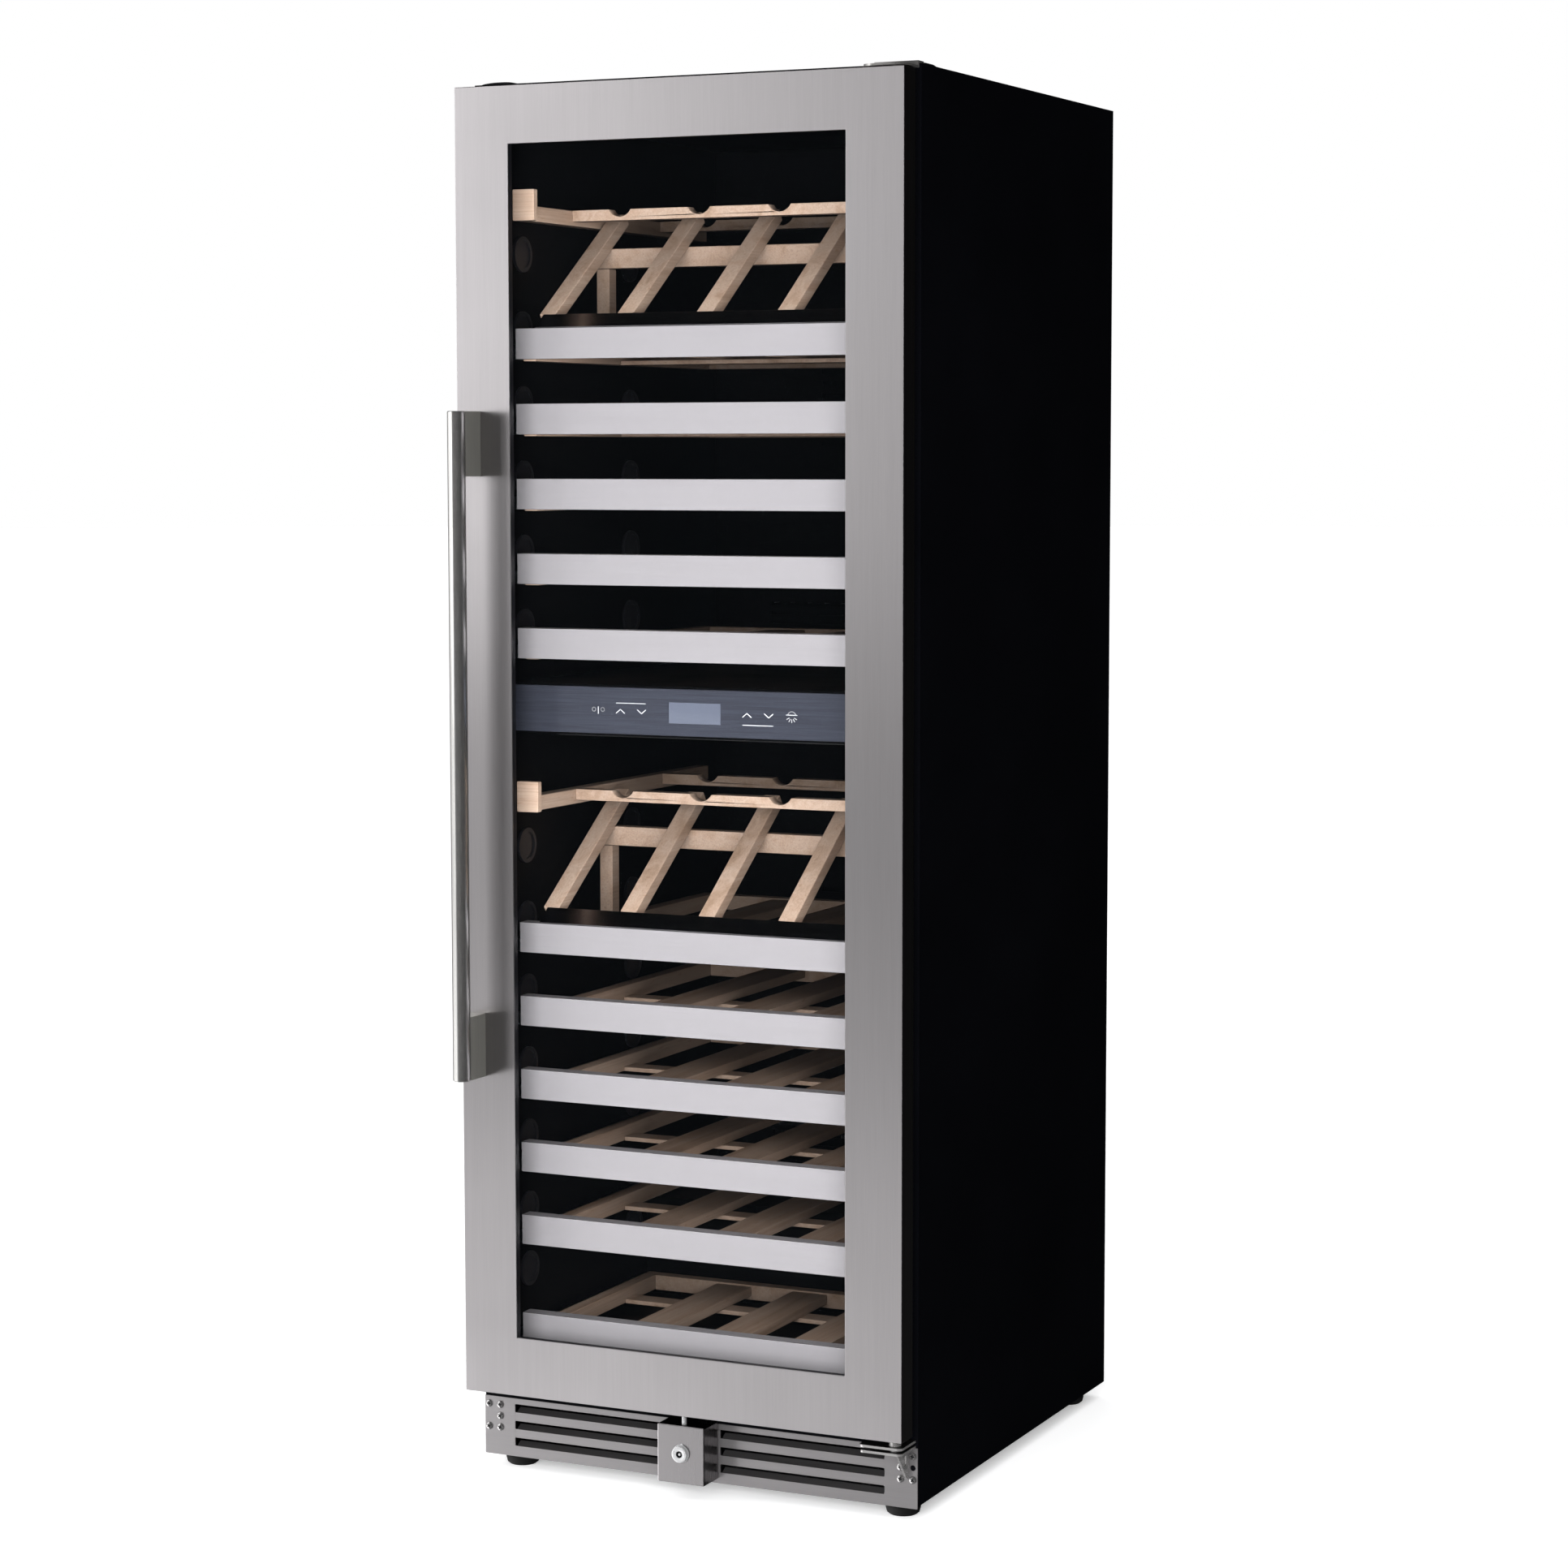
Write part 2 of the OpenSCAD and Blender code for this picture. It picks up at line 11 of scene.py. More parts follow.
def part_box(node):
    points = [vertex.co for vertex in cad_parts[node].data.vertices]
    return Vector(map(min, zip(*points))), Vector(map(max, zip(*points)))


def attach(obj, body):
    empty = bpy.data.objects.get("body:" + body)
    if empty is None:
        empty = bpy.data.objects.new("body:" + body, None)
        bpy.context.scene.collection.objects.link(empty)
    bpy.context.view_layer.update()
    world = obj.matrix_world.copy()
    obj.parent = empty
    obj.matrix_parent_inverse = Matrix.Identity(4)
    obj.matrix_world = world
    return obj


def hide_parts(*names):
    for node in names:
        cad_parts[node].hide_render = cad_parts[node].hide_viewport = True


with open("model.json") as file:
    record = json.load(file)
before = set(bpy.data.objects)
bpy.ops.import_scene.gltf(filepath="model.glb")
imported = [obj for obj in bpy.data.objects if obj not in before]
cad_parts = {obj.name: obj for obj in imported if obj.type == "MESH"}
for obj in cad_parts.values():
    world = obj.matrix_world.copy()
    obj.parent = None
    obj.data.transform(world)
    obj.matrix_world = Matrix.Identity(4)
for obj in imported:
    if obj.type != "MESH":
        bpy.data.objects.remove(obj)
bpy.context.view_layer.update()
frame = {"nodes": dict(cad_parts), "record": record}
NODES = frame["nodes"]
SCENE = bpy.context.scene
COLLECTION = SCENE.collection
MM = 0.001

# ---------------------------------------------------------------- camera and light

PHOTO_CAMERA = {"place": (1.943, -4.171, 1.2774), "azimuth": 25.06, "pitch": 5.221, "roll": -0.05}
PHOTO_LENS = 82.8

# Brightness of the surroundings as (place, level) stops: from the left (0) to the right (1), from
# below to above, and from the front to the back.
WORLD_ACROSS = (
    (0.0, 1.0), (0.20, 1.0), (0.250, 0.96), (0.266, 0.15), (0.34, 0.08), (0.5, 0.06), (0.8, 0.02),
    (1.0, 0.005),
)
WORLD_HEIGHT = (
    (0.0, 0.74), (0.36, 0.78), (0.388, 0.90), (0.41, 0.30), (0.44, 0.19), (0.472, 0.32), (0.506, 0.42),
    (0.6, 0.45), (0.7, 0.1), (1.0, 0.06),
)
WORLD_DEPTH = ((0.0, 1.0), (0.5, 1.0), (0.62, 0.25), (1.0, 0.08))
WORLD_STRENGTH = 3.0

TOP_SUN = {"towards": (0.05, 0.05, -1.0), "strength": 2.6, "angle": 110}
FRONT_BOX = {"place": (1.0, -3.3, 0.95), "target": (0, -0.3, 0.9), "size": (3.4, 1.7), "power": 238}
LEFT_CARD = {"place": (-2.85, -2.35, 2.4), "target": (-2.85, 0, 2.4), "size": (2.3, 3.0), "power": 44}


def make_camera():
    """The camera at the photograph's angle, with no shift and no depth of field."""
    cam = bpy.data.cameras.new("camera")
    cam.lens = PHOTO_LENS
    cam.sensor_width = 36
    cam.clip_start = 0.05
    cam.clip_end = 100
    obj = bpy.data.objects.new("camera", cam)
    COLLECTION.objects.link(obj)
    turn = Matrix.Rotation(math.radians(PHOTO_CAMERA["azimuth"]), 4, "Z")
    tilt = Matrix.Rotation(math.radians(90 - PHOTO_CAMERA["pitch"]), 4, "X")
    roll = Matrix.Rotation(math.radians(PHOTO_CAMERA["roll"]), 4, "Z")
    obj.matrix_world = Matrix.Translation(PHOTO_CAMERA["place"]) @ turn @ tilt @ roll
    SCENE.camera = obj


def make_world():
    """A white room to the camera. To the cooler it is bright on the left and low down, dim elsewhere."""
    world = bpy.data.worlds.new("studio")
    world.use_nodes = True
    SCENE.world = world
    tree = world.node_tree
    tree.nodes.clear()

    def link(source, target):
        tree.links.new(source, target)

    coords = tree.nodes.new("ShaderNodeTexCoord")
    split = tree.nodes.new("ShaderNodeSeparateXYZ")
    link(coords.outputs["Generated"], split.inputs[0])

    def level_along(axis, stops):
        """Grey level that follows stops along one axis of the view direction."""
        unit = tree.nodes.new("ShaderNodeMapRange")
        unit.inputs["From Min"].default_value = -1
        unit.inputs["From Max"].default_value = 1
        link(split.outputs[axis], unit.inputs["Value"])
        ramp = tree.nodes.new("ShaderNodeValToRGB")
        elements = ramp.color_ramp.elements
        for element, (place, level) in zip(elements, (stops[0], stops[-1])):
            element.position = place
            element.color = (level, level, level, 1)
        for place, level in stops[1:-1]:
            elements.new(place).color = (level, level, level, 1)
        link(unit.outputs[0], ramp.inputs[0])
        return ramp.outputs[0]

    product = level_along("X", WORLD_ACROSS)
    for factor in (level_along("Z", WORLD_HEIGHT), level_along("Y", WORLD_DEPTH)):
        mix = tree.nodes.new("ShaderNodeMix")
        mix.data_type = "RGBA"
        mix.blend_type = "MULTIPLY"
        mix.inputs[0].default_value = 1
        link(product, mix.inputs[6])
        link(factor, mix.inputs[7])
        product = mix.outputs[2]
    lit = tree.nodes.new("ShaderNodeBackground")
    lit.inputs["Strength"].default_value = WORLD_STRENGTH
    link(product, lit.inputs["Color"])
    seen = tree.nodes.new("ShaderNodeBackground")
    seen.inputs["Color"].default_value = (1, 1, 1, 1)
    path = tree.nodes.new("ShaderNodeLightPath")
    pick = tree.nodes.new("ShaderNodeMixShader")
    out = tree.nodes.new("ShaderNodeOutputWorld")
    link(path.outputs["Is Camera Ray"], pick.inputs[0])
    link(lit.outputs[0], pick.inputs[1])
    link(seen.outputs[0], pick.inputs[2])
    link(pick.outputs[0], out.inputs[0])


def area_light(name, place, target, size, power, glossy=True):
    """A soft box that looks at target. Without glossy it lights matt surfaces and isn't mirrored."""
    light = bpy.data.lights.new(name, "AREA")
    light.shape = "RECTANGLE"
    light.size, light.size_y = size
    light.energy = power
    obj = bpy.data.objects.new(name, light)
    COLLECTION.objects.link(obj)
    obj.location = place
    obj.rotation_euler = (Vector(target) - Vector(place)).to_track_quat("-Z", "Y").to_euler()
    obj.visible_glossy = glossy


def sun_light(name, towards, strength, angle):
    """A sun of the given angle in degrees that shines towards a direction and isn't mirrored."""
    light = bpy.data.lights.new(name, "SUN")
    light.energy = strength
    light.angle = math.radians(angle)
    obj = bpy.data.objects.new(name, light)
    COLLECTION.objects.link(obj)
    obj.rotation_euler = Vector(towards).to_track_quat("-Z", "Y").to_euler()
    obj.visible_glossy = False


# ---------------------------------------------------------------- materials


class Material:
    """A Principled material with short calls for the texture nodes that it needs."""

    def __init__(self, name, colour, metallic=0.0, rough=0.5, **sockets):
        """Sockets are further Principled inputs, with _ for the spaces in their names."""
        self.data = bpy.data.materials.new(name)
        self.data.use_nodes = True
        self.tree = self.data.node_tree
        self.bsdf = self.tree.nodes["Principled BSDF"]
        self.bsdf.inputs["Base Color"].default_value = (*colour, 1)
        self.bsdf.inputs["Metallic"].default_value = metallic
        self.bsdf.inputs["Roughness"].default_value = rough
        for socket, value in sockets.items():
            self.bsdf.inputs[socket.replace("_", " ")].default_value = value
        self.coords = self.node("ShaderNodeTexCoord").outputs["Object"]

    def node(self, kind, **settings):
        """A new node with the settings given."""
        made = self.tree.nodes.new(kind)
        for key, value in settings.items():
            setattr(made, key, value)
        return made

    def link(self, source, target):
        """Joins an output to an input."""
        self.tree.links.new(source, target)

    def noise(self, per_metre, detail=2.0, rough=0.5, distort=0.0):
        """Noise whose features repeat about per_metre = (x, y, z) times in a metre."""
        mapping = self.node("ShaderNodeMapping")
        mapping.inputs["Scale"].default_value = per_metre
        self.link(self.coords, mapping.inputs[0])
        noise = self.node("ShaderNodeTexNoise")
        noise.inputs["Scale"].default_value = 1
        noise.inputs["Detail"].default_value = detail
        noise.inputs["Roughness"].default_value = rough
        noise.inputs["Distortion"].default_value = distort
        self.link(mapping.outputs[0], noise.inputs[0])
        return noise.outputs[0]

    def facing_up(self):
        """1 on faces that look straight up, -1 on faces that look straight down."""
        split = self.node("ShaderNodeSeparateXYZ")
        self.link(self.node("ShaderNodeNewGeometry").outputs["True Normal"], split.inputs[0])
        return split.outputs["Z"]

    def ramp(self, value, *stops):
        """Colour ramp through (position, colour) stops."""
        made = self.node("ShaderNodeValToRGB")
        elements = made.color_ramp.elements
        elements[0].position, elements[0].color = stops[0][0], (*stops[0][1], 1)
        elements[1].position, elements[1].color = stops[-1][0], (*stops[-1][1], 1)
        for place, colour in stops[1:-1]:
            elements.new(place).color = (*colour, 1)
        self.link(value, made.inputs[0])
        return made.outputs[0]

    def spread(self, value, low, high, from_low=0.3, from_high=0.7):
        """Maps a value onto low to high. The source range fits a noise unless it is given."""
        made = self.node("ShaderNodeMapRange")
        made.inputs["From Min"].default_value = from_low
        made.inputs["From Max"].default_value = from_high
        made.inputs["To Min"].default_value = low
        made.inputs["To Max"].default_value = high
        self.link(value, made.inputs["Value"])
        return made.outputs[0]

    def math(self, operation, a, b):
        """Arithmetic on two values, each a socket or a number."""
        made = self.node("ShaderNodeMath", operation=operation)
        for socket, value in zip(made.inputs, (a, b)):
            if isinstance(value, (int, float)):
                socket.default_value = value
            else:
                self.link(value, socket)
        return made.outputs[0]

    def blend(self, amount, a, b, mode="MIX"):
        """Mixes two colours, each a socket or a plain colour."""
        made = self.node("ShaderNodeMix", data_type="RGBA", blend_type=mode)
        for socket, value in zip((made.inputs[0], made.inputs[6], made.inputs[7]), (amount, a, b)):
            if isinstance(value, (int, float)):
                socket.default_value = value
            elif isinstance(value, tuple):
                socket.default_value = (*value, 1)
            else:
                self.link(value, socket)
        return made.outputs[2]

    def colour(self, socket):
        """Sets the base colour from a socket."""
        self.link(socket, self.bsdf.inputs["Base Color"])

    def roughness(self, socket):
        """Sets the roughness from a socket."""
        self.link(socket, self.bsdf.inputs["Roughness"])

    def bump(self, height, strength, distance=MM):
        """Raises the surface by a height socket, up to distance."""
        made = self.node("ShaderNodeBump")
        made.inputs["Strength"].default_value = strength
        made.inputs["Distance"].default_value = distance
        self.link(height, made.inputs["Height"])
        self.link(made.outputs[0], self.bsdf.inputs["Normal"])


def tone(colour, factor):
    """The colour made lighter or darker by a factor."""
    return tuple(c * factor for c in colour)


def along(axis, across, lengthwise):
    """Texture scale with its long direction along axis."""
    return tuple(lengthwise if name == axis else across for name in "xyz")


def even(per_metre):
    """Texture scale that is the same on all axes."""
    return (per_metre, per_metre, per_metre)


def brushed_steel(name, colour, axis, rough=0.30, depth=0.05, contrast=0.06, anisotropy=0.5, metallic=1.0,
                  bright_slope=False, painted_top_shade=1.0):
    """Steel brushed along one axis: fine scratches, broad soft bands and faint smudges.

    With bright_slope, faces that lean back or forwards are polished instead of satin. The colour of
    faces that look up is multiplied by the top shade factor: painted shade on them.
    """
    lean_from, level_from = (0.3, 0.4), (0.985, 0.995)
    upward_over = 0.7
    m = Material(name, colour, metallic, rough, Anisotropic=anisotropy,
                 Anisotropic_Rotation=0.0 if axis == "z" else 0.25)
    fine = m.noise(along(axis, across=1100, lengthwise=16), detail=3)
    broad = m.noise(along(axis, across=190, lengthwise=4.5), detail=3)
    smudge = m.noise(even(3.2), detail=3, rough=0.6)
    dark, light = tone(colour, 1 - contrast), tone(colour, 1 + contrast)
    streaks = m.math("ADD", m.math("MULTIPLY", fine, 0.6), m.math("MULTIPLY", broad, 0.4))
    surface = m.ramp(streaks, (0.34, dark), (0.50, colour), (0.66, light))
    # Painted shade: faces that look up are darkened towards black.
    if painted_top_shade < 1:
        painted_top_shade_mask = m.math("MULTIPLY", m.math("GREATER_THAN", m.facing_up(), upward_over), 1 - painted_top_shade)
        surface = m.blend(painted_top_shade_mask, surface, (0.0, 0.0, 0.0))
    m.colour(surface)
    base = m.spread(fine, rough - 0.025, rough + 0.03)
    rough_map = m.math("ADD", base, m.spread(smudge, -0.02, 0.035))
    if bright_slope:
        slope = m.math("ABSOLUTE", m.facing_up(), 0)
        lean = m.math("MULTIPLY", m.spread(slope, 0, 1, *lean_from), m.spread(slope, 1, 0, *level_from))
        m.link(m.spread(lean, metallic, 1, 0, 1), m.bsdf.inputs["Metallic"])
        rough_map = m.math("MULTIPLY", rough_map, m.spread(lean, 1, 0.5, 0, 1))
    m.roughness(rough_map)
    m.bump(fine, depth, 0.2 * MM)
    tangent = m.node("ShaderNodeTangent", direction_type="RADIAL", axis="Z")
    m.link(tangent.outputs[0], m.bsdf.inputs["Tangent"])
    return m.data


def powder_coat(name, colour, rough=0.42, grain=1300, depth=0.12, specular=0.3):
    """Sprayed and baked coating with a fine orange peel."""
    m = Material(name, colour, rough=rough, Specular_IOR_Level=specular)
    peel = m.noise(even(grain), detail=2)
    cloud = m.noise(even(4), detail=4, rough=0.6)
    m.colour(m.ramp(cloud, (0.3, tone(colour, 0.82)), (0.7, tone(colour, 1.18))))
    m.roughness(m.spread(cloud, rough - 0.03, rough + 0.05))
    m.bump(peel, depth, 0.15 * MM)
    return m.data


def plastic(name, colour, rough=0.4, grain=1600, depth=0.08, specular=0.4):
    """Moulded plastic with a fine spark-eroded grain and slight wear."""
    m = Material(name, colour, rough=rough, Specular_IOR_Level=specular)
    texture = m.noise(even(grain), detail=3, rough=0.6)
    wear = m.noise(even(14), detail=5, rough=0.65)
    m.colour(m.ramp(wear, (0.3, tone(colour, 0.85)), (0.72, tone(colour, 1.2))))
    m.roughness(m.spread(wear, rough - 0.05, rough + 0.07))
    m.bump(texture, depth, 0.1 * MM)
    return m.data


def rubber(name, colour):
    """Soft seal rubber with a dusty bloom."""
    m = Material(name, colour, rough=0.7)
    bloom = m.noise(even(30), detail=5, rough=0.7)
    m.colour(m.ramp(bloom, (0.35, colour), (0.8, tone(colour, 1.9))))
    m.roughness(m.spread(bloom, 0.62, 0.8))
    m.bump(m.noise(even(2200)), 0.1, 0.1 * MM)
    return m.data


def beech(name, front_depth):
    """Pale beech. Grain runs along x in the front blocks and along y behind front_depth.

    Painted shade darkens the wood towards the back of the cabinet, and painted shade makes its undersides
    almost black.
    """
    depth_shade_start, depth_shade_end = front_depth + 20 * MM, front_depth + 290 * MM
    painted_underside_shade = (0.05, 0.035, 0.03)
    m = Material(name, (0.68, 0.49, 0.36), rough=0.5, Specular_IOR_Level=0.35)
    split = m.node("ShaderNodeSeparateXYZ")
    m.link(m.coords, split.inputs[0])
    behind = m.math("GREATER_THAN", split.outputs["Y"], front_depth)
    info = m.node("ShaderNodeObjectInfo").outputs["Random"]

    def layer(across, lengthwise, detail, distort=0.0):
        """Noise that is long in the direction of the grain."""
        front = m.noise(along("x", across, lengthwise), detail, distort=distort)
        rear = m.noise(along("y", across, lengthwise), detail, distort=distort)
        keep_front = m.math("MULTIPLY", front, m.math("SUBTRACT", 1.0, behind))
        return m.math("ADD", keep_front, m.math("MULTIPLY", rear, behind))

    bands = layer(across=42, lengthwise=2.2, detail=3, distort=0.6)
    fibres = layer(across=520, lengthwise=9, detail=3)
    flecks = layer(across=300, lengthwise=55, detail=2)
    colour = m.ramp(
        bands,
        (0.28, (0.58, 0.40, 0.285)),
        (0.45, (0.76, 0.55, 0.42)),
        (0.60, (0.82, 0.62, 0.49)),
        (0.75, (0.70, 0.49, 0.365)),
    )
    fibre_tint = m.ramp(fibres, (0.35, (0.80, 0.78, 0.76)), (0.62, (1, 1, 1)))
    fleck_tint = m.ramp(flecks, (0.64, (1, 1, 1)), (0.72, (0.78, 0.68, 0.60)))
    colour = m.blend(0.8, colour, fibre_tint, "MULTIPLY")
    colour = m.blend(0.7, colour, fleck_tint, "MULTIPLY")
    shade = m.node("ShaderNodeHueSaturation")
    m.link(colour, shade.inputs["Color"])
    # Painted shade: the wood darkens with depth behind its front blocks.
    deep = m.spread(split.outputs["Y"], 1.0, 0.32, depth_shade_start, depth_shade_end)
    m.link(m.math("MULTIPLY", m.spread(info, 0.92, 1.06, 0, 1), deep), shade.inputs["Value"])
    # Painted shade: faces that look down turn almost black.
    painted_underside_mask = m.math("LESS_THAN", m.facing_up(), -0.7)
    m.colour(m.blend(m.math("MULTIPLY", painted_underside_mask, 0.85), shade.outputs[0], painted_underside_shade))
    m.roughness(m.spread(fibres, 0.42, 0.58))
    m.bump(fibres, 0.18, 0.15 * MM)
    return m.data


def glass(name):
    """Clear double glazing, slightly grey, that lets most light through."""
    m = Material(name, (0.004, 0.005, 0.006), rough=0.03, Alpha=0.05, IOR=1.5, Specular_IOR_Level=0.12)
    film = m.noise(even(5), detail=4, rough=0.6)
    m.roughness(m.spread(film, 0.015, 0.06))
    m.data.surface_render_method = "BLENDED"
    return m.data


def fins(name, colour):
    """Rolled aluminium fins with faint ripples."""
    m = Material(name, colour, metallic=1.0, rough=0.4)
    ripple = m.noise(along("z", across=60, lengthwise=400), detail=2)
    m.colour(m.ramp(ripple, (0.3, tone(colour, 0.8)), (0.7, tone(colour, 1.05))))
    m.roughness(m.spread(ripple, 0.32, 0.5))
    m.bump(ripple, 0.2, 0.3 * MM)
    return m.data


def lamp_lens(name):
    """Frosted dark cover of the unlit light strips."""
    m = Material(name, (0.012, 0.012, 0.013), rough=0.55)
    frost = m.noise(even(700), detail=2)
    m.colour(m.ramp(frost, (0.3, (0.010, 0.010, 0.011)), (0.7, (0.014, 0.014, 0.015))))
    m.roughness(m.spread(frost, 0.48, 0.62))
    return m.data


def board(name):
    """Green circuit board with a faint pattern of tracks."""
    m = Material(name, (0.02, 0.11, 0.06), rough=0.35)
    tracks = m.noise(along("z", across=260, lengthwise=40), detail=0)
    m.colour(m.ramp(tracks, (0.48, (0.015, 0.09, 0.045)), (0.52, (0.03, 0.16, 0.08))))
    m.roughness(m.spread(tracks, 0.3, 0.42))
    return m.data


def window_face(name):
    """Unlit display window: smooth grey-blue with a soft vertical fade."""
    m = Material(name, (0.135, 0.152, 0.20), rough=0.22)
    fade = m.noise(along("z", across=6, lengthwise=30), detail=1)
    m.colour(m.ramp(fade, (0.3, (0.125, 0.141, 0.190)), (0.7, (0.153, 0.172, 0.22))))
    m.roughness(m.spread(fade, 0.18, 0.28))
    return m.data


STEEL = (0.600, 0.575, 0.587)
SHELF_FRONT_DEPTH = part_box("shelf_02_trim")[1].y + 0.5 * MM

MATERIALS = {
    "black_steel": powder_coat("black_powder_coat", (0.0016, 0.0017, 0.0024), rough=0.46, specular=0.03),
    "black_liner": powder_coat(
        "liner_black", (0.0025, 0.0025, 0.003), rough=0.5, grain=900, depth=0.02, specular=0.06,
    ),
    "foam": plastic("foam_grey", (0.34, 0.34, 0.34), rough=0.9, grain=500, depth=0.5, specular=0.1),
    "rear_steel": powder_coat("rear_dark_grey", (0.022, 0.022, 0.025), rough=0.5),
    "zinc_steel": brushed_steel("zinc_plate", (0.30, 0.31, 0.32), "y", rough=0.45, contrast=0.2),
    "brushed_steel": brushed_steel(
        "brushed_upright", STEEL, "z", rough=0.35, depth=0.04, contrast=0.032, anisotropy=0.85,
    ),
    "bright_screws": brushed_steel(
        "bright_steel", (0.52, 0.51, 0.51), "y", rough=0.24, depth=0.0, contrast=0.03, anisotropy=0.0,
        metallic=0.95,
    ),
    "lock_chrome": brushed_steel(
        "lock_face", (0.72, 0.72, 0.73), "x", rough=0.28, depth=0.003, contrast=0.01, anisotropy=0.0,
        metallic=0.8,
    ),
    "hinge_steel": brushed_steel(
        "hinge_plate", (0.38, 0.37, 0.36), "x", rough=0.27, depth=0.01, contrast=0.02, anisotropy=0.2,
        metallic=0.9,
    ),
    "black_plastic": plastic("black_moulding", (0.006, 0.0062, 0.0075), rough=0.42),
    "foot_rubber": rubber("foot_rubber", (0.004, 0.004, 0.004)),
    "tinted_glass": glass("door_glass"),
    "gasket_rubber": rubber("gasket_rubber", (0.012, 0.012, 0.013)),
    "handle_steel": brushed_steel(
        "brushed_handle", (0.76, 0.75, 0.735), "z", rough=0.225, depth=0.015, contrast=0.05, anisotropy=0.2,
        metallic=0.97,
    ),
    "panel_steel": brushed_steel(
        "panel_blue_grey", (0.070, 0.077, 0.105), "x", rough=0.36, depth=0.10, contrast=0.22, anisotropy=0.4,
        metallic=0.5,
    ),
    "display": window_face("display_face"),
    "circuit_board": board("circuit_board"),
    "led_lens": lamp_lens("led_lens"),
    "pad_plastic": plastic("pad_black", (0.010, 0.010, 0.012), rough=0.34),
    "rail_steel": brushed_steel("rail_steel", (0.34, 0.34, 0.35), "y", rough=0.38, depth=0.03, contrast=0.1),
    "fin_aluminium": fins("fin_aluminium", (0.60, 0.61, 0.62)),
    "fan_plastic": plastic("fan_grey", (0.018, 0.019, 0.021), rough=0.45),
    "condenser_steel": powder_coat("condenser_black", (0.012, 0.012, 0.013), rough=0.5),
    "compressor_steel": powder_coat("compressor_black", (0.008, 0.008, 0.009), rough=0.32),
    "beech": beech("oiled_beech", SHELF_FRONT_DEPTH),
    "trim_steel": brushed_steel(
        "trim_satin", (0.365, 0.352, 0.371), "x", rough=0.42, depth=0.03, contrast=0.03, anisotropy=0.3,
        metallic=0.12, bright_slope=True,
    ),
}

# Finishes of single steel nodes that differ from those of their slots; three of them paint shade on faces
# that look up
OTHER_STEEL = {
    "kick_grille": brushed_steel(
        "brushed_level", tone(STEEL, 0.56), "x", rough=0.33, depth=0.02, contrast=0.03, anisotropy=0.4,
        metallic=0.84, painted_top_shade=0.35,
    ),
    "handle_posts": brushed_steel(
        "brushed_post", (0.62, 0.61, 0.56), "z", rough=0.30, depth=0.015, contrast=0.05, anisotropy=0.2,
        metallic=0.88,
    ),
    "lock_box": brushed_steel(
        "lock_box_satin", tone(STEEL, 0.80), "z", rough=0.24, depth=0.01, contrast=0.02, anisotropy=0.3,
        painted_top_shade=0.08,
    ),
    "lower_hinge": brushed_steel(
        "hinge_shaded", (0.52, 0.51, 0.505), "x", rough=0.27, depth=0.006, contrast=0.01, anisotropy=0.2,
        metallic=0.86, painted_top_shade=0.06,
    ),
}
ICON_PAINT = plastic("icon_print", (0.80, 0.82, 0.85), rough=0.5, depth=0.03)
COPPER = brushed_steel(
    "copper_tube", (0.62, 0.30, 0.19), "z", rough=0.3, depth=0.02, contrast=0.1, anisotropy=0.0,
)
BRASS = brushed_steel(
    "inlet_pins", (0.70, 0.60, 0.38), "y", rough=0.25, depth=0.02, contrast=0.05, anisotropy=0.0,
)

# Rounding of the CAD nodes' sharp edges
EDGE_WIDTHS = {
    "door_frame": 0.9 * MM,
    "door_inner_frame": 0.5 * MM,
    "handle_posts": 0.6 * MM,
    "cabinet_shell": 0.5 * MM,
    "back_panel": 0.3 * MM,
    "leveling_feet": 0.8 * MM,
    "kick_grille": 0.4 * MM,
    "lower_hinge": 0.6 * MM,
    "lock_box": 1.5 * MM,
    "lock_bolt": 0.4 * MM,
    "control_panel": 0.5 * MM,
    "display_window": 0.3 * MM,
    "led_strips": 0.8 * MM,
    "wall_pads": 0.7 * MM,
    "half_shelves": 1.2 * MM,
}
for number in range(1, 12):
    EDGE_WIDTHS[f"shelf_{number:02d}_frame"] = 1.2 * MM
    EDGE_WIDTHS[f"shelf_{number:02d}_trim"] = 0.45 * MM


def dress_nodes():
    """Gives every CAD node the material of its slot, or its own finish."""
    for part in frame["record"]["subparts"]:
        obj = NODES[part["node"]]
        chosen = OTHER_STEEL.get(part["node"], MATERIALS[part["material_slot"]])
        if not obj.data.materials:
            obj.data.materials.append(chosen)
        for entry in obj.material_slots:
            entry.material = chosen


def soften(node, width):
    """Rounds a CAD node's sharp edges with modifiers, which leave its mesh alone."""
    obj = NODES[node]
    weld = obj.modifiers.new("weld", "WELD")
    weld.merge_threshold = 0.01 * MM
    bevel = obj.modifiers.new("soft edges", "BEVEL")
    bevel.width = width
    bevel.segments = 2
    bevel.limit_method = "ANGLE"
    bevel.angle_limit = math.radians(40)
    bevel.harden_normals = True


# ---------------------------------------------------------------- mesh helpers

# Turns that bring the z axis round to the side that a lathed shape or a screw faces
FACING = {
    "-y": Matrix.Rotation(math.radians(90), 4, "X"),
    "y": Matrix.Rotation(math.radians(-90), 4, "X"),
    "z": Matrix.Identity(4),
}


def piece(name, mesh, body, slot, *materials):
    """Links a mesh as a piece that rides on body. Its faces pick from the materials by their index."""
    obj = bpy.data.objects.new(name, mesh)
    COLLECTION.objects.link(obj)
    for material in materials:
        mesh.materials.append(material)
    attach(obj, body)
    return obj


